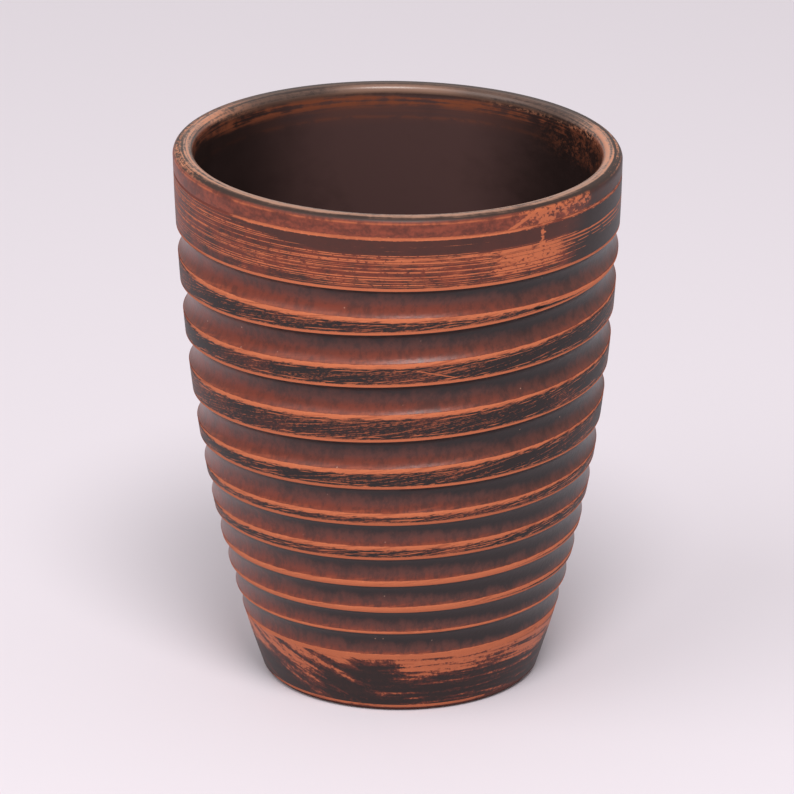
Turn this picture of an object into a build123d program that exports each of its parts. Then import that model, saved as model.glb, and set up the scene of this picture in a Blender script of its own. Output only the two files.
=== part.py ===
"""Ribbed earthenware cup: a thrown clay body under bands of dark slip, parted by lines of bare clay."""

import os
from math import ceil, cos, hypot, radians, sin, sqrt

from build123d import *

os.makedirs("parts", exist_ok=True)

# Outline of the wall, in millimetres, with the foot resting on z = 0
foot_radius = 26.5
rim_radius = 42.85
wall_curve_radius = 335.0
wall = 4.0
floor_thickness = 6.0
floor_corner_radius = 8.0
lip_round = 1.9
foot_round = 0.9

# Bands of the outside at the front, from the rim down: the groove is one spiral of a round-nosed tool
rim_band = 14.9
groove_widths = [5.55, 6.1, 5.9, 5.9, 5.35, 4.7, 4.9, 4.8, 4.5, 5.05]
land_widths = [3.1, 4.5, 5.4, 4.1, 2.45, 2.8]
ridge_widths = [1.05, 1.1, 0.5]
foot_band = 13.05
groove_tool_radius = 3.8

# Fall of the spiral at the front of each turn, in millimetres per turn, and where it runs in and out
falls_per_turn = [0.0, 11.4, 11.1, 12.9, 7.5, 6.3, 6.9, 6.0, 3.0, 0.0]
level_until_turn = 1.16
level_from_turn = 10.16
start_turn = 0.36
end_turn = 10.8
least_ridge = 0.4
sections_per_turn = 18

# Slip coat, and the lines scraped through it to the bare clay
coat = 0.3
groove_edge_line = 0.15
land_top_line = 0.8
land_foot_line = 0.55
least_coat_width = 0.5
incised_line_below_lip = 4.2
incised_line_width = 0.6
foot_edge_line = 1.4

# The bands add up to the height of the cup
between_widths = land_widths + ridge_widths
height = rim_band + sum(groove_widths) + sum(between_widths) + foot_band
incised_line_height = height - incised_line_below_lip
lip_start = height - lip_round

# Centre of the arc that carries the outside of the wall from the foot to the rim
chord = hypot(rim_radius - foot_radius, height)
centre_reach = sqrt(wall_curve_radius**2 - (chord / 2) ** 2)
centre_radius = (foot_radius + rim_radius) / 2 - centre_reach * height / chord
centre_height = height / 2 + centre_reach * (rim_radius - foot_radius) / chord

# Drawing areas reach past the cup on every side, and pockets are cut from this far outside the wall
beyond = 2 * (height + rim_radius)
pocket_reach = 0.5

# Height of the middle of the groove at the front of each turn
groove_middles = []
level = height - rim_band
for number, width in enumerate(groove_widths):
    groove_middles.append(level - width / 2)
    level -= width
    if number < len(between_widths):
        level -= between_widths[number]


def wall_point(level, depth=0.0):
    """Point of the section at this height, this far inside the outline of the wall."""
    radius = wall_curve_radius - depth
    return (centre_radius + sqrt(radius**2 - (level - centre_height) ** 2), level)


def wall_arc(lower, upper, depth=0.0):
    """Stretch of the wall's outline between two heights."""
    middle = (lower + upper) / 2
    ThreePointArc(wall_point(lower, depth), wall_point(middle, depth), wall_point(upper, depth))


def lip_arc(depth):
    """Rounded top of the wall, this far inside the finished lip, between its two faces."""
    outer_end = wall_point(lip_start, depth)
    inner_end = wall_point(lip_start, wall - depth)
    ThreePointArc(outer_end, ((outer_end[0] + inner_end[0]) / 2, height - depth), inner_end)


def wall_coat(lower, upper):
    """Cuts the sketch to the coat on the outline of the wall between two heights."""
    with BuildLine() as coat_area:
        wall_arc(lower, upper, coat)
        Line(wall_point(upper, coat), (beyond, upper))
        Line((beyond, upper), (beyond, lower))
        Line((beyond, lower), wall_point(lower, coat))
    make_face(coat_area.edges(), mode=Mode.INTERSECT)


def groove_middle(turn):
    """Height of the middle of the groove after this many turns: level, then a smooth fall, then level."""
    turns = [level_until_turn, *range(2, len(groove_middles)), level_from_turn]
    turn = min(max(turn, turns[0]), turns[-1])
    last = max(place for place in range(len(turns) - 1) if turns[place] <= turn)
    span = turns[last + 1] - turns[last]
    share = (turn - turns[last]) / span
    eased = share**2 * (3 - 2 * share)
    level = groove_middles[last] * (1 - eased) + groove_middles[last + 1] * eased
    leaving = falls_per_turn[last] * span * share * (1 - share) ** 2
    arriving = falls_per_turn[last + 1] * span * share**2 * (1 - share)
    return level - leaving + arriving


def groove_half_width(turn):
    """Half the width of the groove, which changes evenly from turn to turn."""
    turn = min(max(turn, 1), len(groove_widths))
    last = min(int(turn), len(groove_widths) - 1)
    share = turn - last
    return (groove_widths[last - 1] * (1 - share) + groove_widths[last] * share) / 2


def groove_top(turn):
    """Height of the groove's upper edge; where the groove runs out, the turn above leaves less room."""
    top = groove_middle(turn) + groove_half_width(turn)
    if turn < level_from_turn - 1:
        return top
    turn_above = groove_middle(turn - 1) - groove_half_width(turn - 1)
    return min(top, turn_above - least_ridge)


def groove_bottom(turn):
    """Height of the groove's lower edge; where the groove runs in, the turn below leaves less room."""
    bottom = groove_middle(turn) - groove_half_width(turn)
    if turn > level_until_turn:
        return bottom
    turn_below = groove_middle(turn + 1) + groove_half_width(turn + 1)
    return max(bottom, turn_below + least_ridge)


def land_coat_ends(turn):
    """Heights of both ends of the slip on the land under this turn of the groove."""
    return groove_top(turn + 1) + land_foot_line, groove_bottom(turn) - land_top_line


def nose_point(turn, level, depth=0.0):
    """Point of the hollow that the tool's nose leaves, this far behind its surface, at a height."""
    low_end = Vector(*wall_point(groove_bottom(turn)))
    high_end = Vector(*wall_point(groove_top(turn)))
    half_width = (high_end - low_end).length / 2
    outward = (high_end - low_end).normalized().rotate(Axis.Z, -90)
    centre = (low_end + high_end) / 2 + outward * sqrt(groove_tool_radius**2 - half_width**2)
    reach = sqrt((groove_tool_radius + depth) ** 2 - (level - centre.Y) ** 2)
    return (centre.X - reach, level)


def nose_arc(turn, lower, upper, depth=0.0):
    """Stretch of that hollow between two heights."""
    middle = nose_point(turn, (lower + upper) / 2, depth)
    ThreePointArc(nose_point(turn, lower, depth), middle, nose_point(turn, upper, depth))


def groove_coat_outline(turn):
    """Section of the slip in the groove, which stops short of both edges."""
    lower = groove_bottom(turn) + groove_edge_line
    upper = groove_top(turn) - groove_edge_line
    nose_arc(turn, lower, upper)
    Line(nose_point(turn, upper), nose_point(turn, upper, coat))
    nose_arc(turn, lower, upper, coat)
    Line(nose_point(turn, lower, coat), nose_point(turn, lower))


def past_edge(turn, level, edge_level):
    """Point outside the wall, straight on from a point of the hollow through the groove's edge."""
    inside = Vector(*nose_point(turn, level))
    edge = Vector(*wall_point(edge_level))
    outside = edge + (edge - inside).normalized() * pocket_reach
    return (outside.X, outside.Y)


def groove_pocket_outline(turn):
    """Section of the groove and the slip in it, open to the outside of the wall."""
    lower = groove_bottom(turn) + groove_edge_line
    upper = groove_top(turn) - groove_edge_line
    lower_outside = past_edge(turn, lower, groove_bottom(turn))
    upper_outside = past_edge(turn, upper, groove_top(turn))
    Line(lower_outside, nose_point(turn, lower))
    Line(nose_point(turn, lower), nose_point(turn, lower, coat))
    nose_arc(turn, lower, upper, coat)
    Line(nose_point(turn, upper, coat), nose_point(turn, upper))
    Line(nose_point(turn, upper), upper_outside)
    Line(upper_outside, lower_outside)


def land_coat_outline(turn):
    """Section of the slip on the land under this turn of the groove."""
    lower, upper = land_coat_ends(turn)
    wall_arc(lower, upper)
    Line(wall_point(upper), wall_point(upper, coat))
    wall_arc(lower, upper, coat)
    Line(wall_point(lower, coat), wall_point(lower))


def land_pocket_outline(turn):
    """Section of the same slip, reaching past the outside of the wall."""
    lower, upper = land_coat_ends(turn)
    lower_outside = (wall_point(lower)[0] + pocket_reach, lower)
    upper_outside = (wall_point(upper)[0] + pocket_reach, upper)
    wall_arc(lower, upper, coat)
    Line(wall_point(upper, coat), upper_outside)
    Line(upper_outside, lower_outside)
    Line(lower_outside, wall_point(lower, coat))


def along_spiral(outline, first, last):
    """Solid that follows the spiral from one turn to another, with its section drawn at every step."""
    steps = ceil((last - first) * sections_per_turn)
    sections = []
    for step in range(steps + 1):
        turn = first + (last - first) * step / steps
        angle = radians(-360 * turn)
        outward = (sin(angle), -cos(angle), 0)
        onward = (-cos(angle), -sin(angle), 0)
        with BuildLine(Plane((0, 0, 0), x_dir=outward, z_dir=onward)) as section:
            outline(turn)
        sections.append(section.wire())
    return Solid.make_loft(sections)


# Half section of the cup before the groove is cut, clay and coat together
with BuildSketch(Plane.XZ) as cup_section:
    with BuildLine():
        Line((0, 0), (foot_radius, 0))
        wall_arc(0, lip_start)
        lip_arc(0)
        wall_arc(lip_start, floor_thickness, wall)
        Line(wall_point(floor_thickness, wall), (0, floor_thickness))
        Line((0, floor_thickness), (0, 0))
    make_face()
    foot_corner = cup_section.vertices().sort_by_distance((foot_radius, 0))[0]
    fillet(foot_corner, foot_round)
    floor_corner = cup_section.vertices().sort_by_distance(wall_point(floor_thickness, wall))[0]
    fillet(floor_corner, floor_corner_radius)

# Slip on the inside, over the lip and down to the incised line
with BuildPart() as lining_coat:
    with BuildSketch(Plane.XZ) as lining_section:
        lining_end = incised_line_height + incised_line_width / 2
        under_floor = floor_thickness - coat
        behind_lining = wall - coat
        with BuildLine():
            Line((0, under_floor), wall_point(under_floor, behind_lining))
            wall_arc(under_floor, lip_start, behind_lining)
            lip_arc(coat)
            wall_arc(lip_start, lining_end, coat)
            Line(wall_point(lining_end, coat), (beyond, lining_end))
            Line((beyond, lining_end), (beyond, beyond))
            Line((beyond, beyond), (0, beyond))
            Line((0, beyond), (0, under_floor))
        make_face()
        lining_corner = lining_section.vertices().sort_by_distance(wall_point(under_floor, behind_lining))[0]
        fillet(lining_corner, floor_corner_radius + coat)
        add(cup_section.sketch_local, mode=Mode.INTERSECT)
    revolve(axis=Axis.Z)
lining_coat.part.label = "lining_coat"
export_step(lining_coat.part, "parts/lining_coat.step")

# Slip on the rim band, between the incised line and the first turn of the groove
with BuildPart() as rim_coat:
    with BuildSketch(Plane.XZ) as rim_section:
        add(cup_section.sketch_local)
        wall_coat(height - rim_band + land_foot_line, incised_line_height - incised_line_width / 2)
    revolve(axis=Axis.Z)
rim_coat.part.label = "rim_coat"
export_step(rim_coat.part, "parts/rim_coat.step")

# Slip on the band above the foot, which stops short of the resting face
with BuildPart() as foot_coat:
    with BuildSketch(Plane.XZ) as foot_section:
        add(cup_section.sketch_local)
        wall_coat(foot_edge_line, foot_band - land_top_line)
    revolve(axis=Axis.Z)
foot_coat.part.label = "foot_coat"
export_step(foot_coat.part, "parts/foot_coat.step")

# Slip in each turn of the groove, from the back of the cup round to the back
pockets = []
for number in range(1, len(groove_widths) + 1):
    first = start_turn if number == 1 else number - 0.5
    last = end_turn if number == len(groove_widths) else number + 0.5
    groove_coat = along_spiral(groove_coat_outline, first, last)
    groove_coat.label = f"groove_coat_{number:02d}"
    export_step(groove_coat, f"parts/groove_coat_{number:02d}.step")
    pockets.append(along_spiral(groove_pocket_outline, first, last))

# Slip on the land between the turns, where it is wide enough; below it the ridge is scraped bare
for number in range(1, len(land_widths) + 1):
    turns_long = 1.5 if number == len(land_widths) else 1.0
    coated_turns = []
    for step in range(int(turns_long * sections_per_turn) + 1):
        turn = number - 0.5 + step / sections_per_turn
        lower, upper = land_coat_ends(turn)
        if upper - lower > least_coat_width:
            coated_turns.append(turn)
    land_coat = along_spiral(land_coat_outline, coated_turns[0], coated_turns[-1])
    land_coat.label = f"land_coat_{number:02d}"
    export_step(land_coat, f"parts/land_coat_{number:02d}.step")
    pockets.append(along_spiral(land_pocket_outline, coated_turns[0], coated_turns[-1]))

# Fired clay under the slip, flush with it along the bare lines
with BuildPart() as clay_body:
    with BuildSketch(Plane.XZ):
        add(cup_section.sketch_local)
        for coat_section in (lining_section, rim_section, foot_section):
            add(coat_section.sketch_local, mode=Mode.SUBTRACT)
    revolve(axis=Axis.Z)
    for pocket in pockets:
        add(pocket, mode=Mode.SUBTRACT)
clay_body.part.label = "clay_body"
export_step(clay_body.part, "parts/clay_body.step")
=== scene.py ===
import bmesh
import bpy
import numpy as np
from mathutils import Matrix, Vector


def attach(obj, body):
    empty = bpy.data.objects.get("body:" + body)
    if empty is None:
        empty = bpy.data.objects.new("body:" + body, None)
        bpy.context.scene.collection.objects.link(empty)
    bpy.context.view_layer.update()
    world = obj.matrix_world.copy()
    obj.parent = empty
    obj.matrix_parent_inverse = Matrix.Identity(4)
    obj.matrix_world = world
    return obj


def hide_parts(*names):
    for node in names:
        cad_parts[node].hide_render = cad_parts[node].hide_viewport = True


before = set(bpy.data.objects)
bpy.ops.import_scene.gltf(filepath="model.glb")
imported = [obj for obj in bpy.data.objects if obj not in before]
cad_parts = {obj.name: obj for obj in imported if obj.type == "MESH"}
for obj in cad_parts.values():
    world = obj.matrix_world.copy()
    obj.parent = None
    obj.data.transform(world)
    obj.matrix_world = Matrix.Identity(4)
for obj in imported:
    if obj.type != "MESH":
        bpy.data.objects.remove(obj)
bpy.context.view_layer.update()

# Clay body
# The cup itself: red earthenware thrown on the wheel, 4 mm thick, with a round-nosed tool run down the
# outside in one spiral. It shows along the edges that were scraped through the slip, and under the foot.
mm = 0.001
foot_radius = 26.5
rim_radius = 42.85
cup_height = 105.7
wall_curve_radius = 335.0
wall = 4.0
floor_thickness = 6.0
floor_corner_radius = 8.0
lip_round = 1.9
lip_squareness = 0.8
foot_round = 0.9
coat = 0.3
wall_unevenness = 0.1
swell = 0.28
swell_length = 108.0
lean = 0.45

# The spiral at the front of each turn: widths of the groove and of what stands between its turns, and
# how fast it falls there
rim_band = 14.9
groove_widths = np.array([5.55, 6.1, 5.9, 5.9, 5.35, 4.7, 4.9, 4.8, 4.5, 5.05])
between_widths = np.array([3.1, 4.5, 5.4, 4.1, 2.45, 2.8, 1.05, 1.1, 0.5])
falls_per_turn = np.array([0.0, 11.4, 11.1, 12.9, 7.5, 6.3, 6.9, 6.0, 3.0, 0.0])
turn_steps = np.concatenate([[0], np.cumsum(groove_widths[:-1] + between_widths)])
groove_heights = cup_height - rim_band - turn_steps - groove_widths / 2
groove_tool_radius = 3.8
groove_lean = 0.85
shallower_below_turn = 5.0
lower_depth_share = 0.82
first_turn = 0.16
last_turn = 11.16
turns_in_all = int(np.ceil(last_turn)) + 1
least_ridge = 0.4
hair = 1e-6

# Lines scraped bare along the edges of the grooves, and the two lines cut into rim and foot
groove_edge_line = 0.15
groove_top_fade = 4.0
groove_foot_bare = 0.2
groove_foot_fade = 2.0
land_top_line = 0.8
land_foot_line = 0.55
least_coat = 0.5
incised_line_height = 101.5
incised_line_width = 0.6
foot_edge_line = 1.4

# The lip slopes a little from left to right
lip_height = 105.07
lip_slope = 0.6
lip_rise_in_front = 0.1

chord = np.hypot(rim_radius - foot_radius, cup_height)
centre_reach = np.sqrt(wall_curve_radius**2 - (chord / 2) ** 2)
centre_radius = (foot_radius + rim_radius) / 2 - centre_reach * cup_height / chord
centre_height = cup_height / 2 + centre_reach * (rim_radius - foot_radius) / chord


def wall_radius(level, depth=0.0):
    """Radius of the wall at a height, this far inside its outline: an arc, fuller below its middle."""
    arc = centre_radius + np.sqrt((wall_curve_radius - depth) ** 2 - (level - centre_height) ** 2)
    return arc + swell * np.sin(2 * np.pi * level / swell_length)


def half_width(turn):
    """Half the width of the groove after this many turns."""
    return np.interp(turn, np.arange(1, len(groove_widths) + 1), groove_widths / 2)


def groove_height(turn):
    """Height of the middle of the groove: level for the first and last turn, and a smooth fall between."""
    knots = np.arange(1.0, len(groove_heights) + 1)
    knots[0] = first_turn + 1
    knots[-1] = last_turn - 1
    turn = np.clip(turn, knots[0], knots[-1])
    knot = np.clip(np.searchsorted(knots, turn) - 1, 0, len(knots) - 2)
    span = knots[knot + 1] - knots[knot]
    t = (turn - knots[knot]) / span
    starting = (2 * t**3 - 3 * t**2 + 1) * groove_heights[knot]
    ending = (3 * t**2 - 2 * t**3) * groove_heights[knot + 1]
    leaving = (t**3 - 2 * t**2 + t) * span * falls_per_turn[knot]
    arriving = (t**3 - t**2) * span * falls_per_turn[knot + 1]
    return starting + ending - leaving - arriving


def groove_ends(turn):
    """Heights of both edges of the groove; its run-in and run-out leave a ridge to the turn beside them."""
    top = groove_height(turn) + half_width(turn)
    bottom = groove_height(turn) - half_width(turn)
    turn_below = groove_height(turn + 1) + half_width(turn + 1)
    turn_above = groove_height(turn - 1) - half_width(turn - 1)
    room_below = np.maximum(top - turn_below, 0)
    room_above = np.maximum(turn_above - bottom, 0)
    run_in = np.maximum(bottom, turn_below + np.minimum(least_ridge, room_below / 2))
    run_out = np.minimum(top, turn_above - np.minimum(least_ridge, room_above / 2))
    bottom = np.where(turn <= first_turn + 1, run_in, bottom)
    top = np.where(turn >= last_turn - 2, run_out, top)
    return top, np.minimum(bottom, top)


def groove_depth(angle, level):
    """How far the tool has cut in at these angles and heights, in whichever turn passes there."""
    deepest = np.zeros(np.broadcast(angle, level).shape)
    for passing in range(turns_in_all):
        turn = passing - angle / 360
        top, bottom = groove_ends(turn)
        half = np.maximum(top - bottom, hair) / 2
        across = np.clip((top - level) / (2 * half), 0, 1)
        off_middle = (across**groove_lean - 0.5) * 2 * half
        depth = np.sqrt(groove_tool_radius**2 - off_middle**2) - np.sqrt(groove_tool_radius**2 - half**2)
        depth = depth * np.where(turn < shallower_below_turn, 1, lower_depth_share)
        cut = (turn >= first_turn) & (turn <= last_turn)
        deepest = np.maximum(deepest, np.where(cut, depth, 0))
    return deepest


def outer_radius(angle, level):
    """Radius of the finished outside, with its grooves and two slow waves left by the thrower's hand."""
    turned = np.radians(angle)
    uneven = np.sin(2 * turned + 0.03 * level + 0.6) + np.sin(3 * turned - 0.05 * level) + 2
    return wall_radius(level) - groove_depth(angle, level) - wall_unevenness * uneven / 4


def on_wall(angle, radius, level):
    """Points of the cup in metres; angle 0 faces the viewer and grows towards the viewer's right."""
    turned = np.radians(angle)
    off_axis = lean * (1 - level / cup_height)
    points = np.broadcast_arrays(radius * np.sin(turned) + off_axis, -radius * np.cos(turned), level)
    return np.stack(points, axis=-1) * mm


def lip_top(angle):
    """Height of the lip round the mouth."""
    turned = np.radians(angle)
    return lip_height - lip_slope * np.sin(turned) + lip_rise_in_front * np.cos(turned)


def rim_level(angle, level):
    """Height on the rim band once the slope of the lip is shared out over it."""
    top = groove_heights[0] + groove_widths[0] / 2
    share = np.maximum(level - top, 0) / (cup_height - top)
    return level + share * (lip_top(angle) - cup_height)


sharp_from = 50.0


def mesh_piece(name, points, faces, **marks):
    """A mesh object from points in metres, with its painting guides as point attributes."""
    mesh = bpy.data.meshes.new(name)
    mesh.from_pydata(points.reshape(-1, 3).tolist(), [], faces)
    for mark, values in marks.items():
        vector = values.shape[-1] == 3 and values.ndim > 1
        layer = mesh.attributes.new(mark, "FLOAT_VECTOR" if vector else "FLOAT", "POINT")
        layer.data.foreach_set("vector" if vector else "value", values.astype(np.float32).ravel())
    mesh.polygons.foreach_set("use_smooth", np.ones(len(mesh.polygons), bool))
    mesh.set_sharp_from_angle(angle=np.radians(sharp_from))
    mesh.update()
    piece = bpy.data.objects.new(name, mesh)
    bpy.context.scene.collection.objects.link(piece)
    return piece


grain_reach = 40.0


def grain_at(angle, lane, reach=grain_reach):
    """Guide that runs round the cup in millimetres, with the height along the spiral as its third part."""
    turned = np.radians(angle)
    return np.stack(np.broadcast_arrays(reach * np.sin(turned), -reach * np.cos(turned), lane), axis=-1)


def groove_bareness(level, top, bottom):
    """How far inside a scraped line a point of the groove lies, in millimetres; less than 0 under slip."""
    at_foot = groove_foot_bare - groove_foot_fade * (level - bottom)
    return np.maximum(-groove_top_fade * (top - level), at_foot)


def land_bareness(level, upper, lower):
    """The same on a land between two turns, scraped along both of its edges."""
    return np.maximum(land_top_line - (upper - level), land_foot_line - (level - lower))


# One long strip winds down the outside; the lower border of each turn is the upper border of the next
columns = 240
strip_columns = int(columns * (last_turn - first_turn))
strip_turns = first_turn + np.arange(strip_columns + columns + 1) / columns
tops, bottoms = groove_ends(strip_turns)
foot_ring = groove_heights[-1] - groove_widths[-1] / 2
rim_ring = groove_heights[0] + groove_widths[0] / 2
turn_here = strip_turns[:strip_columns]
angle_here = -360 * turn_here
top_here = tops[:strip_columns]
bottom_here = bottoms[:strip_columns]
next_top = np.where(turn_here + 1 < last_turn, tops[columns : columns + strip_columns], foot_ring)
bottom_here = np.maximum(bottom_here, next_top)
groove_here = top_here - bottom_here
land_here = bottom_here - next_top
edge = np.minimum(groove_edge_line, groove_here / 4)
most_line_share = 0.4
above = np.minimum(land_top_line, most_line_share * land_here)
below = np.minimum(land_foot_line, most_line_share * land_here)
wedge_height = 0.8
groove_coated = np.where(groove_here > wedge_height, coat, 0)
land_coated = np.where(land_here - above - below > least_coat, coat, 0)
step_width = 0.02
most_step_share = 1 / 20
groove_step = np.minimum(step_width, groove_here * most_step_share)
land_step = np.minimum(step_width, land_here * most_step_share)
groove_floor_rows = 10
land_floor_rows = 4

strip_levels = []
strip_recess = []


def add_strip_row(level, recess):
    """One more row of the strip, at this height and this far under the finished surface."""
    strip_levels.append(level)
    strip_recess.append(np.broadcast_to(recess, level.shape))


add_strip_row(top_here, 0)
add_strip_row(top_here - edge, 0)
for share in np.linspace(0, 1, groove_floor_rows):
    coat_top = top_here - edge - groove_step
    coat_bottom = bottom_here + edge + groove_step
    add_strip_row(coat_top + (coat_bottom - coat_top) * share, groove_coated)
add_strip_row(bottom_here + edge, 0)
add_strip_row(bottom_here, 0)
add_strip_row(bottom_here - above, 0)
for share in np.linspace(0, 1, land_floor_rows):
    coat_top = bottom_here - above - land_step
    coat_bottom = next_top + below + land_step
    add_strip_row(coat_top + (coat_bottom - coat_top) * share, land_coated)
add_strip_row(next_top + below, 0)
strip_levels = np.stack(strip_levels, axis=1)
strip_recess = np.stack(strip_recess, axis=1)
strip_rows = strip_levels.shape[1]
strip_angles = np.repeat(angle_here[:, None], strip_rows, axis=1)
strip_radius = outer_radius(strip_angles, strip_levels) - strip_recess
strip_points = on_wall(strip_angles, strip_radius, strip_levels)

# Guides for painting: how bare each point is, how far across the groove, and where along the spiral
in_groove = strip_levels >= bottom_here[:, None] - hair
strip_bare = np.where(
    in_groove,
    groove_bareness(strip_levels, top_here[:, None], bottom_here[:, None]),
    land_bareness(strip_levels, bottom_here[:, None], next_top[:, None]),
)
strip_bare[:, 0] = land_foot_line / 2
least_span = 0.01
groove_span = np.maximum(groove_here, least_span)[:, None]
strip_bare = np.where(groove_span < wedge_height, np.maximum(strip_bare, land_foot_line / 2), strip_bare)
strip_across = np.where(in_groove, np.clip((top_here[:, None] - strip_levels) / groove_span, 0, 1), 0)
lanes_per_turn = 31.0
strip_lane = strip_levels - groove_height(turn_here)[:, None] + lanes_per_turn * turn_here[:, None]
strip_grain = grain_at(strip_angles, strip_lane)

# Rings close the strip off above and below: the rim, the inside, and the foot with its flat resting face
ring_angles = angle_here[:columns]
lining_end = incised_line_height + incised_line_width / 2
rim_coat_top = incised_line_height - incised_line_width / 2
incised_depth = 0.1
lip_side_rows = 5
lip_bend_rows = 17
inside_rows = 40
inside_corner_rows = 12
inside_floor_rows = 8
foot_bend_rows = 5
underside_rows = 9


def inside_profile(depth):
    """Radius and height from the lining's outer end, over the lip and down to the floor's middle."""
    outside = np.linspace(lining_end, cup_height - lip_round, lip_side_rows)
    path = [(wall_radius(level, depth) - wall_unevenness / 2, level) for level in outside]
    lip_middle = wall_radius(cup_height - lip_round, wall / 2)
    for bend in np.radians(np.linspace(0, 180, lip_bend_rows))[1:-1]:
        off_middle = np.sign(np.cos(bend)) * abs(np.cos(bend)) ** lip_squareness * (wall / 2 - depth)
        rise = np.sin(bend) ** lip_squareness * (lip_round - depth)
        path.append((lip_middle + off_middle, cup_height - lip_round + rise))
    corner_height = floor_thickness + floor_corner_radius
    for level in np.linspace(cup_height - lip_round, corner_height, inside_rows):
        path.append((wall_radius(level, wall - depth), level))
    corner_radius = wall_radius(corner_height, wall - depth) - floor_corner_radius - depth
    for bend in np.radians(np.linspace(0, 90, inside_corner_rows))[1:]:
        reach = floor_corner_radius + depth
        path.append((corner_radius + reach * np.cos(bend), corner_height - reach * np.sin(bend)))
    for share in np.linspace(1, 0, inside_floor_rows)[1:-1]:
        path.append((corner_radius * share, floor_thickness - depth))
    return path


def ring(radius, level):
    """One row of points round the cup, following the slope of the lip."""
    return on_wall(ring_angles, radius, rim_level(ring_angles, level))


# Wear of the cut line and of the foot's edge, in waves round the cup; the line fades out on the left
turned = np.radians(ring_angles)
faded_left = np.clip(np.cos(turned + np.radians(75)), 0, 1) ** 4
line_wear = 0.24 + 0.09 * np.sin(3 * turned + 1.4) + 0.07 * np.sin(7 * turned) - 0.32 * faded_left
edge_wear = 0.05 + 0.14 * np.sin(2 * turned + 1.9) + 0.1 * np.sin(5 * turned)

# How bare the rings are: more than 0 on open clay, less than 0 under slip
coat_edge_bare = 0.1
line_shoulder = 0.15
under_line_edge = -0.3
under_slip = -2.0
under_foot_slip = -3.0
edge_shoulder = 0.05
foot_corner_bare = -0.4
underside_bare = 0.6

# Each ring of the rim: its height, how far it lies under the finished surface, and how bare it is
rim_middle_heights = (94.0, 97.0)
rim_rows = []
rim_bare = []
for level, recess, bareness in [
    (rim_ring + land_foot_line, 0, coat_edge_bare),
    (rim_ring + land_foot_line + step_width, coat, -coat_edge_bare),
    (rim_middle_heights[0], coat, under_slip),
    (rim_middle_heights[1], coat, under_slip),
    (rim_coat_top - step_width, coat, under_line_edge),
    (rim_coat_top, 0, line_wear - line_shoulder),
    (incised_line_height, incised_depth, line_wear),
    (lining_end, 0, line_wear - line_shoulder),
]:
    rim_rows.append(ring(outer_radius(ring_angles, level) - recess, level))
    rim_bare.append(np.broadcast_to(bareness, ring_angles.shape))
for radius, level in inside_profile(coat):
    rim_rows.append(ring(radius, level))
    rim_bare.append(np.full(columns, under_slip))

# The rings of the foot in the same way, then its rounded edge and the face under it
foot_middle_heights = (9.0, 5.0)
foot_rows = []
foot_bare = []
foot_reach = []
for level, recess, bareness in [
    (foot_ring, 0, land_top_line),
    (foot_ring - land_top_line, 0, coat_edge_bare),
    (foot_ring - land_top_line - step_width, coat, -coat_edge_bare),
    (foot_middle_heights[0], coat, under_foot_slip),
    (foot_middle_heights[1], coat, under_foot_slip),
    (foot_edge_line + step_width, coat, -coat_edge_bare),
    (foot_edge_line, 0, edge_wear),
    (foot_round, 0, edge_wear - edge_shoulder),
]:
    foot_rows.append(ring(outer_radius(ring_angles, level) - recess, level))
    foot_bare.append(np.broadcast_to(bareness, ring_angles.shape))
    foot_reach.append(grain_reach)
for bend in np.radians(np.linspace(0, 90, foot_bend_rows))[1:]:
    corner = foot_radius - foot_round - wall_unevenness
    foot_rows.append(ring(corner + foot_round * np.cos(bend), foot_round * (1 - np.sin(bend))))
    foot_bare.append(np.full(columns, foot_corner_bare))
    foot_reach.append(grain_reach)
for share in np.linspace(1, 0, underside_rows)[1:-1]:
    foot_rows.append(ring((foot_radius - foot_round) * share, 0))
    foot_bare.append(np.full(columns, underside_bare))
    foot_reach.append(grain_reach * share)

# Points: the strip, the rim and inside rings with their middle, the foot rings with theirs
rim_points = np.concatenate(rim_rows)
foot_points = np.concatenate(foot_rows)
inside_middle = on_wall(0, 0, floor_thickness - coat)[None]
foot_middle = on_wall(0, 0, 0)[None]
body_points = np.concatenate(
    [strip_points.reshape(-1, 3), rim_points, inside_middle, foot_points, foot_middle]
)
rim_start = strip_columns * strip_rows
inside_pole = rim_start + len(rim_rows) * columns
foot_start = inside_pole + 1
foot_pole = foot_start + len(foot_rows) * columns


def strip_point(column, row):
    """Number of a strip point; past its last row it is the first of the next turn, or of the foot ring.

    The whole first column is one point, where the run-in starts on the turn below it.
    """
    if column == 0:
        return columns * strip_rows
    if row < strip_rows:
        return column * strip_rows + row
    if column + columns < strip_columns:
        return (column + columns) * strip_rows
    return foot_start + column % columns


body_faces = []


def add_face(*corners):
    """A face of the body, without the corners that fall together."""
    kept = [corner for place, corner in enumerate(corners) if corner != corners[place - 1]]
    if len(set(kept)) == len(kept) and len(kept) > 2:
        body_faces.append(kept)


for column in range(strip_columns):
    for row in range(strip_rows):
        if column == strip_columns - 1:
            end = foot_start
            add_face(strip_point(column, row), end, end, strip_point(column, row + 1))
        else:
            add_face(
                strip_point(column, row),
                strip_point(column + 1, row),
                strip_point(column + 1, row + 1),
                strip_point(column, row + 1),
            )
for column in range(columns):
    beside = (column + 1) % columns
    beside_strip = strip_point(column + 1, 0)
    add_face(strip_point(column, 0), rim_start + column, rim_start + beside, beside_strip)
    for row in range(len(rim_rows) - 1):
        start = rim_start + row * columns
        add_face(start + column, start + columns + column, start + columns + beside, start + beside)
    start = rim_start + (len(rim_rows) - 1) * columns
    add_face(start + column, inside_pole, start + beside)
    for row in range(len(foot_rows) - 1):
        start = foot_start + row * columns
        add_face(start + beside, start + columns + beside, start + columns + column, start + column)
    start = foot_start + (len(foot_rows) - 1) * columns
    add_face(start + beside, foot_pole, start + column)

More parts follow.
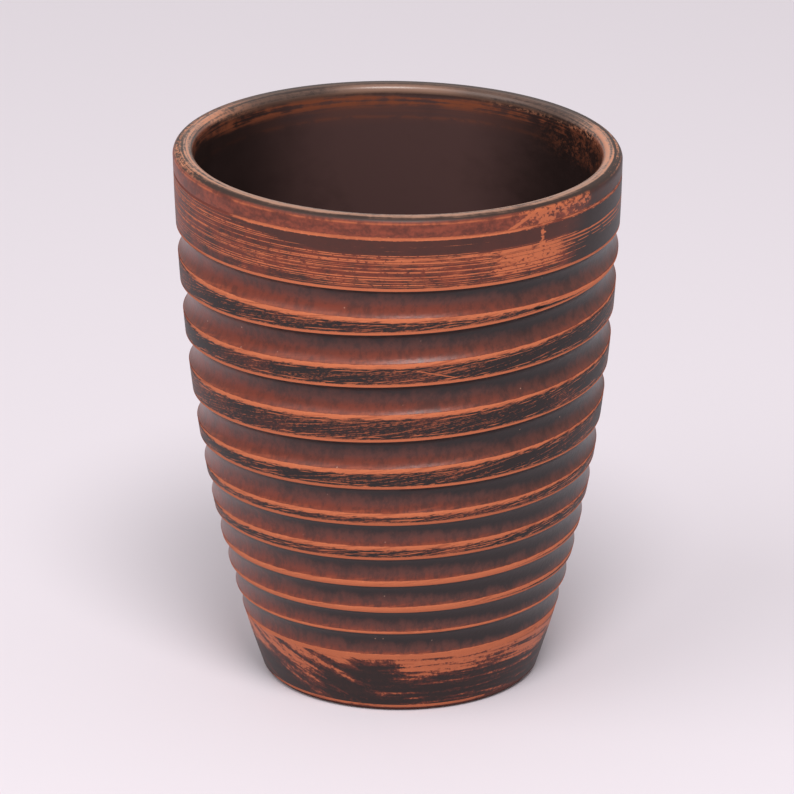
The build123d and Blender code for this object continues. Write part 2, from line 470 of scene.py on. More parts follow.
ring_grain = np.concatenate([grain_at(ring_angles, row[:, 2] / mm) for row in rim_rows])
foot_grain = np.concatenate(
    [grain_at(ring_angles, row[:, 2] / mm, reach) for row, reach in zip(foot_rows, foot_reach)]
)
nowhere = np.zeros((1, 3))
body_grain = np.concatenate([strip_grain.reshape(-1, 3), ring_grain, nowhere, foot_grain, nowhere])
rim_bare = np.concatenate([*rim_bare, [under_slip]])
foot_bare = np.concatenate([*foot_bare, [underside_bare]])
body_bare = np.concatenate([strip_bare.ravel(), rim_bare, foot_bare])
rim_film = 0.8
foot_film = 0.5
rim_across = np.full(len(ring_grain) + 1, rim_film)
foot_across = np.full(len(foot_grain) + 1, foot_film)
body_across = np.concatenate([strip_across.ravel(), rim_across, foot_across])
clay_body = mesh_piece(
    "clay_body_fired", body_points, body_faces, grain=body_grain, bare=body_bare, across=body_across
)

# Where the groove runs in and out, rows of points fall together: they become one
together = 0.001 * mm
joined = bmesh.new()
joined.from_mesh(clay_body.data)
loose_points = [point for point in joined.verts if not point.link_faces]
bmesh.ops.delete(joined, geom=loose_points, context="VERTS")
bmesh.ops.remove_doubles(joined, verts=joined.verts, dist=together)
joined.to_mesh(clay_body.data)
joined.free()


class Value:
    """A number or vector that varies over a surface; sums on it add Math nodes to its material."""

    def __init__(self, finish, socket):
        self.finish = finish
        self.socket = socket

    def sum(self, operation, first, second):
        return self.finish.node("ShaderNodeMath", {"operation": operation}, {0: first, 1: second})

    def __add__(self, other):
        return self.sum("ADD", self, other)

    def __radd__(self, other):
        return self.sum("ADD", other, self)

    def __sub__(self, other):
        return self.sum("SUBTRACT", self, other)

    def __rsub__(self, other):
        return self.sum("SUBTRACT", other, self)

    def __mul__(self, other):
        return self.sum("MULTIPLY", self, other)

    def __rmul__(self, other):
        return self.sum("MULTIPLY", other, self)

    def __abs__(self):
        return self.finish.node("ShaderNodeMath", {"operation": "ABSOLUTE"}, {0: self})


degrees_per_radian = 57.3


class Finish:
    """A material in the making: its shader, and the one way to add the nodes that feed it."""

    def __init__(self, name):
        self.material = bpy.data.materials.new(name)
        self.material.use_nodes = True
        self.tree = self.material.node_tree
        self.shader = self.tree.nodes["Principled BSDF"]

    def node(self, kind, settings, sockets, output=0):
        made = self.tree.nodes.new(kind)
        for setting, choice in settings.items():
            setattr(made, setting, choice)
        for place, given in sockets.items():
            if isinstance(given, Value):
                self.tree.links.new(given.socket, made.inputs[place])
            else:
                made.inputs[place].default_value = given
        return Value(self, made.outputs[output])

    def guide(self, name, output="Fac"):
        return self.node("ShaderNodeAttribute", {"attribute_name": name}, {}, output)

    def part(self, vector, axis):
        return self.node("ShaderNodeSeparateXYZ", {}, {0: vector}, axis)

    def angle(self, grain):
        """Degrees round the cup: 0 in front, growing towards the viewer's right."""
        sockets = {0: self.part(grain, "X"), 1: 0 - self.part(grain, "Y")}
        return self.node("ShaderNodeMath", {"operation": "ARCTAN2"}, sockets) * degrees_per_radian

    def step(self, value, low, high):
        """0 up to low, 1 from high on, and a smooth change between; low may be the greater of the two."""
        smooth = {"interpolation_type": "SMOOTHSTEP"}
        return self.node("ShaderNodeMapRange", smooth, {0: value, 1: low, 2: high})

    def window(self, value, start, end, soft):
        """1 between start and end, fading to 0 over this much on each side."""
        return self.step(value, start - soft, start + soft) * (1 - self.step(value, end - soft, end + soft))

    def mix(self, share, first, second):
        """Colour that is the first where share is 0 and the second where it is 1."""
        return self.node("ShaderNodeMix", {"data_type": "RGBA"}, {0: share, 6: first, 7: second}, 2)

    def stretch(self, place, scales):
        return self.node("ShaderNodeVectorMath", {"operation": "MULTIPLY"}, {0: place, 1: scales})

    def noise(self, place, scales, detail=3.0, roughness=0.55):
        stretched = self.stretch(place, scales)
        sockets = {"Vector": stretched, "Scale": 1.0, "Detail": detail, "Roughness": roughness}
        return self.node("ShaderNodeTexNoise", {}, sockets)

    def feed(self, name, value):
        if isinstance(value, Value):
            self.tree.links.new(value.socket, self.shader.inputs[name])
        else:
            self.shader.inputs[name].default_value = value

    def bump(self, height, strength, distance):
        sockets = {"Strength": strength, "Distance": distance, "Height": height}
        self.feed("Normal", self.node("ShaderNodeBump", {}, sockets))


def colour(red, green, blue):
    """A colour as the eye names it, 0 to 255 each, turned into the light that Blender reckons with."""
    share = np.array([red, green, blue]) / 255
    linear = np.where(share <= 0.04045, share / 12.92, ((share + 0.055) / 1.055) ** 2.4)
    return (*linear.tolist(), 1.0)


terracotta = colour(192, 105, 69)
terracotta_pale = colour(208, 124, 84)
terracotta_deep = colour(156, 80, 53)
slip_black = colour(44, 34, 33)
slip_red = colour(112, 52, 40)


def bare_clay_colour(finish, grain):
    """Fired clay: an even orange-red, deeper and paler in fine streaks left by the tool."""
    streak = finish.noise(grain, (0.08, 0.08, 2.2))
    crumb = finish.noise(grain, (1.6, 1.6, 2.4), detail=4.0)
    tone = finish.mix(finish.step(streak, 0.28, 0.5), terracotta_deep, terracotta)
    return finish.mix(finish.step(crumb, 0.5, 0.8) * 0.6, tone, terracotta_pale)


def scraped(finish, grain, bare, ragged):
    """1 where the slip is scraped through to the clay, with an uneven edge this many millimetres deep."""
    nick = finish.noise(grain, (0.4, 0.4, 2.0), detail=5.0, roughness=0.7)
    return finish.step(bare + (nick - 0.5) * ragged, -0.08, 0.06)


# Stretches of a surface are written as where they start, where they end, and how soft both ends are,
# with angles round the cup in degrees and lengths in millimetres
left_end_angles = (-112.0, -70.0, 10.0)
right_end_angles = (38.0, 116.0, 24.0)
bump_depth = 0.2 * mm

clay = Finish("bare_clay")
grain = clay.guide("grain", "Vector")
bare = clay.guide("bare")
across = clay.guide("across")
angle = clay.angle(grain)
left_end = clay.window(angle, *left_end_angles)
right_end = clay.window(angle, *right_end_angles)
thinner_line = left_end * 0.16 + right_end * 0.13
open_clay = scraped(clay, grain, bare - thinner_line, 0.7) * (1 - left_end * 0.25)
film = clay.mix(clay.step(across, 0.25, 0.75), slip_black, slip_red)
clay.feed("Base Color", clay.mix(open_clay, film, bare_clay_colour(clay, grain)))
clay.feed("Roughness", 0.7)
clay.feed("Specular IOR Level", 0.3)
clay.bump(clay.noise(grain, (1.5, 1.5, 3.0), detail=5.0), 0.25, bump_depth)
clay_body.data.materials.append(clay.material)
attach(clay_body, "root")
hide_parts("clay_body")

# Lining slip
# Dark brown slip poured in and tipped out again: it lines the inside, runs over the lip and ends at the
# line that is cut round the rim. It is rubbed thin on the lip. Its colour also holds painted light and
# shade inside and a painted highlight and sheen on the lip.


def turned_shell(name, outer, inner, middles=(), **marks):
    """A closed shell of rings: rows of points on its face, and the rows under them in the same order.

    A shell with a floor closes on the floor's two middles instead of from its last row to its first.
    """
    rows = np.concatenate([outer, inner[::-1]])
    around = rows.shape[1]
    bands = len(rows) - 1 if len(middles) else len(rows)
    faces = []
    for row in range(bands):
        below_row = (row + 1) % len(rows)
        for column in range(around):
            beside = (column + 1) % around
            start = row * around
            under = below_row * around
            faces.append((start + column, under + column, under + beside, start + beside))
    points = rows.reshape(-1, 3)
    if len(middles):
        last = (len(rows) - 1) * around
        upper_middle = len(points)
        for column in range(around):
            beside = (column + 1) % around
            faces.append((upper_middle, column, beside))
            faces.append((last + column, upper_middle + 1, last + beside))
        points = np.concatenate([points, middles])
    return mesh_piece(name, points, faces, **marks)


fine_columns = 360
ring_angles = np.arange(fine_columns) * 360 / fine_columns
lining_outer = np.stack([ring(radius, level) for radius, level in inside_profile(0.0)][::-1])
lining_inner = np.stack([ring(radius, level) for radius, level in inside_profile(coat)][::-1])
lining_path = np.array(inside_profile(0.0))
floor_reach = np.minimum(lining_path[::-1, 0] / (foot_radius - floor_corner_radius), 1) * grain_reach
lining_reach = np.concatenate([floor_reach, floor_reach[::-1]])[:, None]
path_run = np.concatenate([[0], np.cumsum(np.hypot(*np.diff(lining_path, axis=0).T))])[::-1]
lining_lane = np.concatenate([path_run, path_run[::-1]])[:, None]
lining_middles = on_wall(0, 0, np.array([floor_thickness, floor_thickness - coat]))
middle_lane = path_run[[0, 0]]
lining_grain = np.concatenate(
    [grain_at(ring_angles, lining_lane, lining_reach).reshape(-1, 3), grain_at(0, middle_lane, 0)]
)
lining_run = np.concatenate([np.repeat(lining_lane, fine_columns), middle_lane])
lining_coat = turned_shell(
    "lining_slip_coat", lining_outer, lining_inner, lining_middles, grain=lining_grain, run=lining_run
)

lining = Finish("lining_slip")
grain = lining.guide("grain", "Vector")
run = lining.guide("run")
angle = lining.angle(grain)
slip_shine = 0.22
# Near-black for the painted shade on the sides of the inside
side_shade_black = colour(20, 14, 13)
lining_dark = colour(42, 28, 26)
lining_brown = colour(84, 60, 58)
worn_brown = colour(136, 74, 50)
lip_shade = colour(58, 42, 37)
# Pale grey painted on the lip as its highlight and sheen
lip_highlight_grey = colour(166, 124, 104)
lip_tan = colour(196, 128, 96)
rim_brown = colour(138, 68, 51)
rim_shade = colour(96, 50, 41)
soft = lining.noise(grain, (0.05, 0.05, 0.06))
blotch = lining.noise(grain, (0.25, 0.25, 0.4), detail=4.0, roughness=0.6)
fleck = lining.noise(grain, (1.0, 1.0, 1.4), detail=5.0, roughness=0.7)
streak = lining.noise(grain, (0.04, 0.04, 2.0))

# Inside: painted shade darkens the sides and painted light makes the back paler; browner and rubbed
# through in streaks under the lip
brown_run = (7.4, 13.0, 3.0)
ring_run = (13.0, 13.6, 0.4)
crumb_angles = (62.0, 128.0, 14.0)
crumb_run = (7.5, 15.0, 2.6)
rubbed_run = (6.6, 9.4, 0.8)
far_rub_drop = 1.5
spot_angles = (100.0, 152.0, 8.0)
spot_run = (6.8, 8.8, 0.5)
backward = lining.part(grain, "Y") * (0.5 / grain_reach)
far_side = lining.step(backward, 0.12, 0.3)
far_middle = lining.step(backward, 0.46, 0.497)
# Painted light: paler towards the back, mixed with random blotches
inside = lining.mix(
    lining.step(soft + backward + (blotch - 0.5) * 0.25, 0.4, 1.0), lining_dark, lining_brown
)
brown_zone = lining.window(run, *brown_run) * lining.step(soft + (streak - 0.5) * 0.6, 0.36, 0.62)
inside = lining.mix(brown_zone * 0.18, inside, worn_brown)
throwing_ring = lining.window(run + (soft - 0.5) * 1.2, *ring_run) * lining.step(blotch, 0.38, 0.56)
inside = lining.mix(throwing_ring * 0.3, inside, worn_brown)
# Painted shade: the sides of the inside darken towards black
sideways = abs(lining.part(grain, "X")) * (1 / grain_reach)
inside = lining.mix(lining.step(sideways + (soft - 0.5) * 0.3, 0.3, 0.85) * 0.75, inside, side_shade_black)
crumbs = lining.window(angle, *crumb_angles) * lining.window(run, *crumb_run)
crumbs = crumbs * lining.step(fleck * 0.6 + blotch * 0.4, 0.46, 0.6)
inside = lining.mix(crumbs * 0.6, inside, worn_brown)
rubbed = lining.window(run - far_side * far_rub_drop, *rubbed_run)
rubbed = rubbed * lining.step(streak * 0.4 + blotch * 0.3 + soft * 0.3, 0.46, 0.56)
inside = lining.mix(rubbed * 0.85, inside, worn_brown)
spots = lining.window(angle, *spot_angles) * lining.window(run, *spot_run)
inside = lining.mix(spots * lining.step(fleck, 0.5, 0.6) * 0.8, inside, lip_tan)

# Outside, above the incised line: red-brown, ragged along the line, and nearly black on the right
dark_right_end = (120.0, 150.0)
line_angles = (-42.0, 165.0, 6.0)
line_ragged = 1.1
line_soft = 0.1
outside = lining.mix(lining.step(fleck * 0.5 + blotch * 0.5, 0.38, 0.62), rim_shade, rim_brown)
outside = lining.mix(lining.step(fleck, 0.68, 0.74) * 0.8, outside, terracotta)
dark_right_side = lining.step(angle, 50.0, 60.0) * (1 - lining.step(angle, *dark_right_end))
outside = lining.mix(dark_right_side * 0.85, outside, slip_black)
line_edge = 1 - lining.step(run + (fleck - 0.5) * line_ragged, -line_soft, line_soft)
line_edge = line_edge * lining.window(angle, *line_angles)
outside = lining.mix(line_edge, outside, terracotta)

# One scuff on the right of the rim: slanting strokes, a rub, crumbs and a smear that runs out along the top
scuff_slant = 2.5
scuff_edge_angles = (28.5, 30.5, 0.5)
scuff_rub_angles = (38.0, 43.0, 1.0)
scuff_smear_angles = (34.0, 57.0, 2.0)
scuff_crumb_angles = (30.0, 56.0, 3.0)
scuff_edge = lining.window(angle - run * scuff_slant + (fleck - 0.5) * 3.0, *scuff_edge_angles)
scuff_rub = lining.window(angle + (blotch - 0.5) * 6.0, *scuff_rub_angles)
scuff_rub = scuff_rub * lining.step(fleck + blotch * 0.5, 0.6, 0.68)
scuff_smear = lining.window(angle, *scuff_smear_angles) * lining.step(run + (blotch - 0.5) * 1.6, 1.0, 1.5)
scuff_crumbs = lining.window(angle, *scuff_crumb_angles) * lining.step(fleck, 0.52, 0.6)
scuff = scuff_edge + scuff_rub + scuff_smear * lining.step(fleck, 0.42, 0.56) + scuff_crumbs * 0.7
outside = lining.mix(lining.step(scuff, 0.1, 0.9) * 0.9, outside, terracotta)

# The lip itself: its outer half smooth and dark, its inner half streaked with a painted pale grey highlight
# except on the far side, and rubbed to a tan on its left and right. On the far side it reaches further in,
# with a painted sheen in its middle
left_lip_angles = (-125.0, -62.0, 16.0)
right_lip_angles = (70.0, 112.0, 12.0)
lip_edge_run = (2.6, 2.9, 0.15)
lip_start = (3.0, 3.6)
lip_end = (6.0, 7.4)
far_lip_extra = 1.8
sheen_run = (6.4, 8.0, 0.5)
gloss_run = (5.2, 9.0, 0.8)
worn_sides = lining.window(angle, *left_lip_angles) + lining.window(angle, *right_lip_angles)
# Painted highlight: the inner half of the lip, streaked pale grey
highlit_inner_half = lining.step(run - backward + (streak - 0.5) * 1.6 + (blotch - 0.5) * 1.2, 4.3, 5.3)
highlit_inner_half = highlit_inner_half * (1 - far_side * 0.8)
lip = lining.mix(highlit_inner_half * lining.step(streak + fleck * 0.5, 0.58, 0.8), lip_shade, lip_highlight_grey)
lip = lining.mix(lining.step(streak * 0.6 + fleck * 0.4, 0.47, 0.58) * worn_sides, lip, lip_tan)
lip_edge = lining.window(run, *lip_edge_run) * lining.step(blotch, 0.4, 0.55) * (1 - dark_right_side)
outside = lining.mix(lip_edge * 0.6, outside, terracotta)
tone = lining.mix(lining.step(run, *lip_start), outside, lip)
tone = lining.mix(lining.step(run - far_side * far_lip_extra, *lip_end), tone, inside)
# Painted sheen: pale grey in the middle of the far lip's inner rounding
tone = lining.mix(far_middle * lining.window(run, *sheen_run) * 0.6, tone, lip_highlight_grey)
lining.feed("Base Color", tone)
lining.feed("Roughness", 0.42 + (fleck - 0.5) * 0.2)
lining.feed("Coat Weight", lining.window(run, *gloss_run) * 0.6)
lining.feed("Coat Roughness", 0.24)
lining.feed("Specular IOR Level", slip_shine)
lining_coat.data.materials.append(lining.material)
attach(lining_coat, "root")
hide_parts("lining_coat")

# Rim slip
# The plain band under the lip, brushed with the same slip and rubbed through in fine streaks round the
# cup. It ends at the scraped edge of the first groove.


def plain_band(name, upper, lower, rows):
    """A coat round a plain band of the wall between two heights, with its guides."""
    levels = np.linspace(upper, lower, rows)
    outer = np.stack([ring(outer_radius(ring_angles, level), level) for level in levels])
    inner = np.stack([ring(outer_radius(ring_angles, level) - coat, level) for level in levels])
    heights = np.concatenate([levels, levels[::-1]])
    grain = np.stack([grain_at(ring_angles, level) for level in heights])
    return turned_shell(name, outer, inner, grain=grain)


band_rows = 24
rim_coat = plain_band("rim_slip_coat", rim_coat_top, rim_ring + land_foot_line, band_rows)
rim = Finish("rim_slip")
grain = rim.guide("grain", "Vector")
level = rim.part(grain, "Z")
angle = rim.angle(grain)
dark_band_colour = colour(72, 43, 38)
brushed_dark = colour(66, 42, 38)
soft = rim.noise(grain, (0.3, 0.3, 0.3), detail=4.0)
fleck = rim.noise(grain, (1.0, 1.0, 1.6), detail=5.0, roughness=0.7)
blotch = rim.noise(grain, (0.06, 0.06, 0.4), detail=4.0, roughness=0.6)
breaks = rim.noise(grain, (0.3, 0.3, 1.6), detail=5.0, roughness=0.65)
fine_streak = rim.noise(grain, (0.015, 0.015, 5.4), detail=1.0)

# Brushed ground: black on the right, redder elsewhere, with a dark band on top that narrows to the left
left_side_angles = (-150.0, -47.0, 11.0)
low_shade_end = (92.0, 93.4)
dark_band_start = (97.7, 98.7)
taper_angles = (-150.0, -33.0, 19.0)
taper_rise = 2.6
dark_right_side = rim.step(angle, 46.0, 58.0) * (1 - rim.step(angle, *dark_right_end))
left_side = rim.window(angle, *left_side_angles)
low_shade = 1 - rim.step(level + (soft - 0.5) * 1.6, *low_shade_end)
warmth = soft + (fleck - 0.5) * 0.5 - dark_right_side * 0.35 - low_shade * 0.08
thick = rim.mix(dark_right_side, brushed_dark, slip_black)
brushed = rim.mix(rim.step(warmth, 0.28, 0.66), thick, slip_red)
band_taper = rim.window(angle, *taper_angles) * taper_rise
dark_band = rim.step(level + (soft - 0.5) * 1.4 - band_taper, *dark_band_start) * (1 - left_side)
brushed = rim.mix(dark_band * (1 - dark_right_side) * 0.85, brushed, dark_band_colour)

# Fine streaks rubbed through to the clay below the dark band; on the right only the topmost run on
front_angles = (-30.0, 28.0, 14.0)
smear_angles = (25.0, 45.0, 2.0)
smear_heights = (92.2, 97.4, 0.8)
drip_angles = (38.4, 39.8, 0.5)
drip_start = (96.0, 97.0)
right_half_angles = (-4.0, 150.0, 8.0)
upper_line_heights = (97.1, 97.45, 0.08)
middle_line_heights = (96.35, 96.6, 0.08)
lower_line_heights = (95.5, 95.65, 0.08)
streaked = fine_streak * 0.6 + breaks * 0.25 + blotch * 0.15
streaked = streaked - dark_band * 0.15 - low_shade * 0.06 - dark_right_side * 0.12
streaked = streaked + rim.window(angle, *front_angles) * 0.016
smear_patch = rim.window(angle + (breaks - 0.5) * 12.0, *smear_angles)
smear_patch = smear_patch * rim.window(level + (breaks - 0.5) * 3.0, *smear_heights)
drip = rim.window(angle + (fleck - 0.5) * 2.5, *drip_angles) * rim.step(level, *drip_start)
rubbed = rim.step(streaked + smear_patch * 0.1 + drip * 0.26, 0.51, 0.56)
wander = level + (blotch - 0.5) * 0.8
long_lines = rim.window(wander, *upper_line_heights) + rim.window(wander, *middle_line_heights)
long_lines = long_lines + rim.window(wander, *lower_line_heights)
long_lines = long_lines * rim.window(angle, *right_half_angles) * rim.step(breaks, 0.36, 0.46)
line_edge = 1 - rim.step(rim_coat_top - level + (fleck - 0.5) * line_ragged, -line_soft, line_soft)
line_edge = line_edge * rim.window(angle, *line_angles)
crumbs = rim.step(fleck, 0.52, 0.63) * 0.75
bared = rim.step(rubbed * (0.9 - crumbs) + long_lines + line_edge, 0.05, 0.95)
rim.feed("Base Color", rim.mix(bared, brushed, bare_clay_colour(rim, grain)))
rim.feed("Roughness", 0.36 + fleck * 0.15 + bared * 0.2)
rim.feed("Specular IOR Level", slip_shine)
rim_coat.data.materials.append(rim.material)
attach(rim_coat, "root")
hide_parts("rim_coat")

# Groove slip
# Slip in the hollow of the groove, nearly black under each upper edge, where thick slip and painted shade
# both darken it, and thinner, so redder, towards the lower one. Each piece is one turn of the spiral, from
# the back of the cup to the back.


def band_between(turns, upper, lower, rows):
    """Angles and heights of the rows of a coat between two heights that change along the spiral."""
    levels = upper[:, None] + (lower - upper)[:, None] * np.linspace(0, 1, rows)
    angles = np.repeat(-360 * turns[:, None], rows, axis=1)
    return angles, levels


def spiral_band(name, angles, levels, **marks):
    """A coat along the spiral, closed at both ends, with the guides of its face on its back too."""
    radius = outer_radius(angles, levels)
    outer = on_wall(angles, radius, levels)
    inner = on_wall(angles, radius - coat, levels)
    loops = np.concatenate([outer, inner[:, ::-1]], axis=1)
    along, rows = levels.shape
    around = 2 * rows
    faces = []
    for column in range(along - 1):
        here = column * around
        there = here + around
        for place in range(around):
            following = (place + 1) % around
            faces.append((here + place, there + place, there + following, here + following))
    last = (along - 1) * around
    for row in range(rows - 1):
        across_row = around - 1 - row
        faces.append((row, row + 1, across_row - 1, across_row))
        faces.append((last + across_row, last + across_row - 1, last + row + 1, last + row))
    both = {}
    for mark, values in marks.items():
        both[mark] = np.concatenate([values, values[:, ::-1]], axis=1)
    return mesh_piece(name, loops, faces, **both)


groove = Finish("groove_slip")
grain = groove.guide("grain", "Vector")
across = groove.guide("across")
bare = groove.guide("bare")
turn = groove.part(grain, "Z") * (1 / lanes_per_turn)
angle = groove.angle(grain)
groove_dark = colour(40, 31, 31)
groove_brown = colour(88, 50, 43)
groove_red = colour(118, 53, 38)
groove_thin = colour(154, 74, 47)
groove_shine = 0.34
grit_pale = colour(184, 140, 120)
mottle = groove.noise(grain, (0.8, 0.8, 0.6), detail=5.0, roughness=0.7)
patch = groove.noise(grain, (0.25, 0.25, 0.15), detail=4.0)
streak = groove.noise(grain, (0.05, 0.05, 2.4))
redder_angles = (-120.0, -36.0, 24.0)
darker_angles = (22.0, 120.0, 22.0)
darker_per_turn = 0.034
left_side = groove.window(angle, *redder_angles)
right_side = groove.window(angle, *darker_angles)
# How red the slip shows: nearly black under the upper edge, from thick slip and painted shade together,
# redder towards the lower edge and on the left, darker on the right and on the lower turns
redness = across + (mottle - 0.5) * 0.35 + (patch - 0.5) * 0.5
redness = redness + left_side * 0.24 - right_side * 0.34 - turn * darker_per_turn + 0.04
tone = groove.mix(groove.step(redness, 0.04, 0.44), groove_dark, groove_brown)
tone = groove.mix(groove.step(redness, 0.36, 0.9), tone, groove_red)
tone = groove.mix(groove.step(mottle + (patch - 0.5) * 0.4, 0.58, 0.36) * 0.36, tone, groove_dark)
thin_edge = groove.step(across + (streak - 0.5) * 0.5 + (mottle - 0.5) * 0.4, 0.86, 1.08)
tone = groove.mix(thin_edge * (0.6 - right_side * 0.4), tone, groove_thin)
grit = groove.node("ShaderNodeTexVoronoi", {}, {"Vector": grain, "Scale": 0.36}, "Distance")
grit_here = (1 - groove.step(grit, 0.03, 0.07)) * groove.step(patch, 0.46, 0.56)
tone = groove.mix(grit_here * 0.8, tone, grit_pale)
tone = groove.mix(scraped(groove, grain, bare, 0.3), tone, bare_clay_colour(groove, grain))
groove.feed("Base Color", tone)
groove.feed("Roughness", 0.24 + mottle * 0.2)
groove.feed("Specular IOR Level", groove_shine)
groove.bump(groove.noise(grain, (1.1, 1.1, 1.6), detail=5.0), 0.2, bump_depth)

groove_rows = 16
for number in range(1, len(groove_widths) + 1):
    start = first_turn if number == 1 else number - 0.5
    stop = last_turn if number == len(groove_widths) else number + 0.5
    turns = np.linspace(start, stop, int((stop - start) * fine_columns) + 1)
    top, bottom = groove_ends(turns)
    turns = turns[top - bottom > wedge_height]
    top, bottom = groove_ends(turns)
    angles, levels = band_between(turns, top - groove_edge_line, bottom + groove_edge_line, groove_rows)
    lanes = levels + (lanes_per_turn * turns - groove_height(turns))[:, None]
    piece = spiral_band(
        f"groove_slip_coat_{number:02d}",
        angles,
        levels,
        grain=grain_at(angles, lanes),
        across=(top[:, None] - levels) / (top - bottom)[:, None],
        bare=groove_bareness(levels, top[:, None], bottom[:, None]),
    )
    piece.data.materials.append(groove.material)
    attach(piece, "root")
    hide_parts(f"groove_coat_{number:02d}")

# Land slip
# Slip left on the flat lands between the turns, nearly black and scratched round and round where the
# edges were scraped. The land narrows down the cup and ends as a bare ridge after six turns.
land = Finish("land_slip")
grain = land.guide("grain", "Vector")
bare = land.guide("bare")
angle = land.angle(grain)
land_dark = colour(42, 34, 34)
scratch_brown = colour(160, 86, 58)
patch = land.noise(grain, (0.06, 0.06, 0.1), detail=4.0)
scratch = land.noise(grain, (0.09, 0.09, 7.0), detail=2.0)
long_scratch = land.noise(grain, (0.03, 0.03, 3.2), detail=2.0)
speck = land.noise(grain, (1.2, 1.2, 2.6), detail=4.0, roughness=0.7)
worn_front_angles = (-26.0, 30.0, 16.0)
front = land.window(angle, *worn_front_angles)
tone = land.mix(land.step(patch + (speck - 0.5) * 0.6, 0.46, 0.72) * 0.5, land_dark, slip_red)
worn = scratch * 0.45 + long_scratch * 0.2 + speck * 0.35 + (patch - 0.5) * 0.2 + front * 0.02
tone = land.mix(land.step(worn, 0.535, 0.6) * 0.85, tone, scratch_brown)

# One scratch falls across a land to the right of the front, and a second line wanders under the scraped edge
scratch_turn = 2.5
scratch_angles = (4.6, 15.4, 0.5)
scratch_start_angle = 4.3
scratch_start_height = 0.9
scratch_fall = 0.2
second_line_depth = 0.5
off_land_middle = land.part(grain, "Z") - lanes_per_turn * scratch_turn + angle * (lanes_per_turn / 360)
off_scratch = off_land_middle - scratch_start_height + (angle - scratch_start_angle) * scratch_fall
slanting = abs(off_scratch + (speck - 0.5) * 0.2)
slanting = (1 - land.step(slanting, 0.06, 0.12)) * land.window(angle, *scratch_angles)
tone = land.mix(slanting * 0.9, tone, terracotta)
second_line = abs(bare + second_line_depth + (patch - 0.5) * 1.2)
second_line = (1 - land.step(second_line, 0.04, 0.1)) * land.step(long_scratch, 0.48, 0.56)
tone = land.mix(second_line * 0.9, tone, terracotta)
tone = land.mix(scraped(land, grain, bare, 1.1), tone, bare_clay_colour(land, grain))
land.feed("Base Color", tone)
land.feed("Roughness", 0.4 + speck * 0.2)
land.feed("Specular IOR Level", slip_shine)

land_count = 6
land_rows = 10
for number in range(1, land_count + 1):
    stop = number + (1.0 if number == land_count else 0.5)
    turns = np.linspace(number - 0.5, stop, int((stop - number + 0.5) * fine_columns) + 1)
    upper = groove_ends(turns)[1]
    lower = groove_ends(turns + 1)[0]
    wide_enough = upper - lower - land_top_line - land_foot_line > least_coat
    turns = turns[wide_enough]
    upper = upper[wide_enough]
    lower = lower[wide_enough]
    middle = (upper + lower) / 2
    angles, levels = band_between(turns, upper - land_top_line, lower + land_foot_line, land_rows)
    lanes = levels + (lanes_per_turn * (turns + 0.5) - middle)[:, None]
    piece = spiral_band(
        f"land_slip_coat_{number:02d}",
        angles,
        levels,
        grain=grain_at(angles, lanes),
        bare=land_bareness(levels, upper[:, None], lower[:, None]),
    )
    piece.data.materials.append(land.material)
    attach(piece, "root")
    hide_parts(f"land_coat_{number:02d}")

# Foot slip
# The band above the resting face, brushed with slip in slanting strokes that leave the clay showing
# through near its top. It stops just short of the face that the cup rests on.
foot_coat = plain_band("foot_slip_coat", foot_ring - land_top_line, foot_edge_line, band_rows)
foot = Finish("foot_slip")
grain = foot.guide("grain", "Vector")
level = foot.part(grain, "Z")
angle = foot.angle(grain)
foot_brown = colour(74, 45, 40)
slant = 0.42
mm_per_degree = 0.5
stroke_angles = (-78.0, -10.0, 9.0)
patch_angles = (-19.0, 0.0, 4.0)
patch_heights = (7.8, 12.0, 0.9)
worn_start = (5.2, 10.8)
round_way = angle * mm_per_degree
along_stroke = (round_way - level * slant) * 0.07
across_stroke = (level + round_way * slant) * 0.42
stroke_place = foot.node("ShaderNodeCombineXYZ", {}, {"X": along_stroke, "Y": across_stroke, "Z": 3.7})
slanting = foot.noise(stroke_place, (1.0, 1.0, 1.0), detail=6.0, roughness=0.62)
flat_streak = foot.noise(grain, (0.06, 0.06, 1.0), detail=5.0, roughness=0.62)
fleck = foot.noise(grain, (0.9, 0.9, 1.5), detail=5.0, roughness=0.7)
slanting_side = foot.window(angle, *stroke_angles)
brush = foot.node("ShaderNodeMix", {"data_type": "FLOAT"}, {0: slanting_side, 2: flat_streak, 3: slanting})
dark_patch = foot.window(angle + (fleck - 0.5) * 14.0, *patch_angles) * foot.window(level, *patch_heights)
shown = brush + (fleck - 0.5) * 0.35 + foot.step(level, *worn_start) * 0.2 - dark_patch * 0.13
tone = foot.mix(foot.step(fleck * 0.5 + flat_streak * 0.5, 0.4, 0.62) * 0.35, slip_black, foot_brown)
tone = foot.mix(foot.step(shown, 0.52, 0.66) * 0.7, tone, slip_red)
tone = foot.mix(foot.step(shown, 0.63, 0.7) * 0.92, tone, bare_clay_colour(foot, grain))
foot.feed("Base Color", tone)
foot.feed("Roughness", 0.38 + fleck * 0.15)
foot.feed("Specular IOR Level", slip_shine)
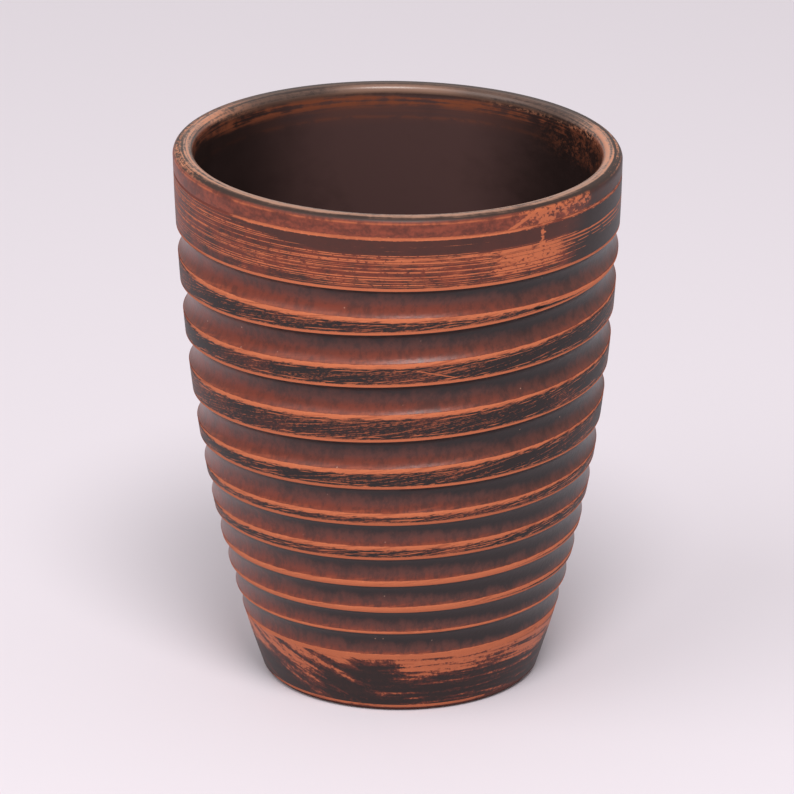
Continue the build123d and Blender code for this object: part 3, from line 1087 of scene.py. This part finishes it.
foot_coat.data.materials.append(foot.material)
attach(foot_coat, "root")
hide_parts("foot_coat")

# Floor and light
# A plain pale floor, a wide soft lamp high on the left, a smaller one high in front, and an even light
# from all round.
floor_size = 6.0
floor_corners = np.array([(-1, -1, 0), (1, -1, 0), (1, 1, 0), (-1, 1, 0)]) * floor_size / 2
floor = mesh_piece("floor", floor_corners, [(0, 1, 2, 3)])
pale = Finish("pale_floor")
pale.feed("Base Color", colour(227, 218, 225))
pale.feed("Roughness", 0.8)
floor.data.materials.append(pale.material)

room_light = 0.52
world = bpy.data.worlds.new("soft_room")
world.use_nodes = True
room = world.node_tree.nodes["Background"]
room.inputs["Color"].default_value = (1.0, 1.0, 1.0, 1.0)
room.inputs["Strength"].default_value = room_light
bpy.context.scene.world = world
cup_middle = Vector((0, 0, 0.05))


def soft_lamp(name, place, size, power):
    """A round soft lamp that faces the middle of the cup."""
    lamp_data = bpy.data.lights.new(name, "AREA")
    lamp_data.shape = "DISK"
    lamp_data.size = size
    lamp_data.energy = power
    lamp = bpy.data.objects.new(name, lamp_data)
    lamp.location = place
    lamp.rotation_euler = (cup_middle - lamp.location).to_track_quat("-Z", "Y").to_euler()
    bpy.context.scene.collection.objects.link(lamp)


soft_lamp("left_lamp", place=(-1.0, -0.6, 1.3), size=1.4, power=8.0)
soft_lamp("front_lamp", place=(0.1, -0.75, 1.3), size=0.6, power=14.0)
bpy.context.scene.view_settings.view_transform = "Standard"

# Camera
# A long lens from about 1.3 m, looking down some 20 degrees at the front of the cup.
camera_data = bpy.data.cameras.new("camera")
camera_data.lens = 304.6
camera_data.sensor_width = 36.0
camera_data.clip_start = 0.05
camera_data.clip_end = 20.0
camera = bpy.data.objects.new("camera", camera_data)
camera.location = Vector((0.0, -1212.6, 505.3)) * mm
aim = Vector((-0.12, 0.0, 54.34)) * mm
camera.rotation_euler = (aim - camera.location).to_track_quat("-Z", "Y").to_euler()
bpy.context.scene.collection.objects.link(camera)
bpy.context.scene.camera = camera
